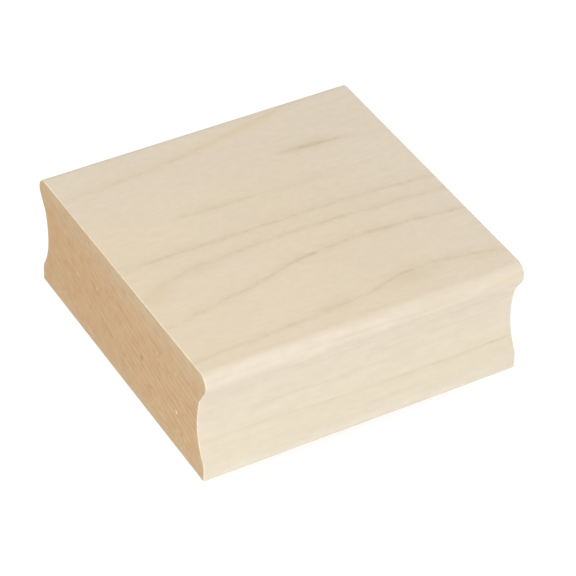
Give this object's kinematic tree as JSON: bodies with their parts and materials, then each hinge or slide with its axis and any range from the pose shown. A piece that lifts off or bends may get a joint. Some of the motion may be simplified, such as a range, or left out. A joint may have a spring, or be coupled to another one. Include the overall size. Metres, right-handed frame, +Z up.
{
  "type": "rubber stamp",
  "caption": "Wood-mounted rubber stamp: square block of pale hardwood with a finger groove along opposite sides, a foam cushion under it and a rubber die with a raised motif.",
  "frame": {"origin": "centre of the printing face, the flat tops of the die's relief, which the stamp stands on", "axes": "+Z up through the wood mount, X along the wood's grain, Y across the grain from one finger groove to the other"},
  "size_m": [0.0764, 0.0762, 0.0343],
  "materials": {
    "maple": "matte",
    "adhesive": "satin",
    "foam": "matte",
    "die_rubber": "satin"
  },
  "bodies": {
    "mount": {"wood_mount": "maple", "upper_adhesive_film": "adhesive", "foam_cushion": "foam"},
    "die": {"lower_adhesive_film": "adhesive", "rubber_die": "die_rubber"}
  },
  "joints": [
    {"name": "press_travel", "type": "slide", "parent": "mount", "child": "die", "axis": [0, 0, 1], "range_m": [0, 0.0008], "stiffness_N_per_m": 90000, "deforming": ["foam_cushion"]}
  ]
}
